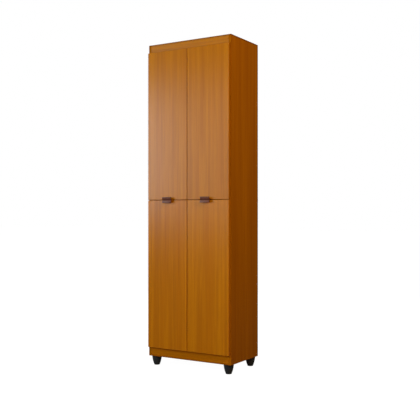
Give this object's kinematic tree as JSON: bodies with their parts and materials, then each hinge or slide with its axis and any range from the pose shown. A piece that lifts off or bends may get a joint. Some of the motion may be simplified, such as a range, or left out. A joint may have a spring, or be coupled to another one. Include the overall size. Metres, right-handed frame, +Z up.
{
  "type": "storage cabinet",
  "caption": "Tall wood-finish cabinet on tapered feet, with upper and lower hinged doors, edge pulls, and shelves on pins behind them.",
  "frame": {"origin": "on the floor, under the middle of the whole object's bounding box", "axes": "+Z up the cabinet, doors and pulls face -Y, +X to the right of someone facing the doors"},
  "size_m": [0.5492, 0.3526, 1.854],
  "materials": {
    "laminate_board": "satin lacquered laminate, upright grain",
    "back_board": "raw hardboard, matt",
    "joint_strip_plastic": "matt brown plastic",
    "zinc_steel": "zinc plated",
    "hinge_steel": "nickel plated, pressed",
    "dowel_beech": "fluted beech, raw",
    "support_plastic": "matt brown plastic",
    "foot_plastic": "black plastic, fine moulded grain",
    "bumper_rubber": "soft clear dot",
    "pull_brown_metal": "satin dark brown paint"
  },
  "bodies": {
    "carcass": {"left_side_panel": "laminate_board", "right_side_panel": "laminate_board", "top_panel": "laminate_board", "base_panel": "laminate_board", "middle_panel": "laminate_board", "top_rail": "laminate_board", "plinth_rail": "laminate_board", "lower_first_shelf": "laminate_board", "lower_second_shelf": "laminate_board", "upper_first_shelf": "laminate_board", "upper_second_shelf": "laminate_board", "screw_caps": "laminate_board", "upper_back_panel": "back_board", "lower_back_panel": "back_board", "back_joint_strip": "joint_strip_plastic", "assembly_screws": "zinc_steel", "back_nails": "zinc_steel", "foot_screws": "zinc_steel", "hinge_screws": "zinc_steel", "hinge_pins": "zinc_steel", "dowels": "dowel_beech", "shelf_supports": "support_plastic", "front_left_foot": "foot_plastic", "front_right_foot": "foot_plastic", "rear_left_foot": "foot_plastic", "rear_right_foot": "foot_plastic", "hinge_plates": "hinge_steel", "door_bumpers": "bumper_rubber", "lower_left_bottom_hinge_arm": "hinge_steel", "lower_left_top_hinge_arm": "hinge_steel", "lower_right_bottom_hinge_arm": "hinge_steel", "lower_right_top_hinge_arm": "hinge_steel", "upper_left_bottom_hinge_arm": "hinge_steel", "upper_left_top_hinge_arm": "hinge_steel", "upper_right_bottom_hinge_arm": "hinge_steel", "upper_right_top_hinge_arm": "hinge_steel"},
    "lower_left_door": {"lower_left_door": "laminate_board", "lower_left_pull": "pull_brown_metal", "lower_left_pull_screws": "zinc_steel", "lower_left_cup_screws": "zinc_steel", "lower_left_bottom_hinge_cup": "hinge_steel", "lower_left_top_hinge_cup": "hinge_steel"},
    "lower_right_door": {"lower_right_door": "laminate_board", "lower_right_pull": "pull_brown_metal", "lower_right_pull_screws": "zinc_steel", "lower_right_cup_screws": "zinc_steel", "lower_right_bottom_hinge_cup": "hinge_steel", "lower_right_top_hinge_cup": "hinge_steel"},
    "upper_left_door": {"upper_left_door": "laminate_board", "upper_left_pull": "pull_brown_metal", "upper_left_pull_screws": "zinc_steel", "upper_left_cup_screws": "zinc_steel", "upper_left_bottom_hinge_cup": "hinge_steel", "upper_left_top_hinge_cup": "hinge_steel"},
    "upper_right_door": {"upper_right_door": "laminate_board", "upper_right_pull": "pull_brown_metal", "upper_right_pull_screws": "zinc_steel", "upper_right_cup_screws": "zinc_steel", "upper_right_bottom_hinge_cup": "hinge_steel", "upper_right_top_hinge_cup": "hinge_steel"}
  },
  "joints": [
    {"name": "lower_left_door_hinge", "type": "hinge", "parent": "carcass", "child": "lower_left_door", "pos_m": [-0.26292, -0.1503, 0.53], "axis": [0, 0, -1], "range_deg": [0, 95]},
    {"name": "lower_right_door_hinge", "type": "hinge", "parent": "carcass", "child": "lower_right_door", "pos_m": [0.26292, -0.1503, 0.53], "axis": [0, 0, 1], "range_deg": [0, 95]},
    {"name": "upper_left_door_hinge", "type": "hinge", "parent": "carcass", "child": "upper_left_door", "pos_m": [-0.26292, -0.1503, 1.381], "axis": [0, 0, -1], "range_deg": [0, 95]},
    {"name": "upper_right_door_hinge", "type": "hinge", "parent": "carcass", "child": "upper_right_door", "pos_m": [0.26292, -0.1503, 1.381], "axis": [0, 0, 1], "range_deg": [0, 95]}
  ]
}
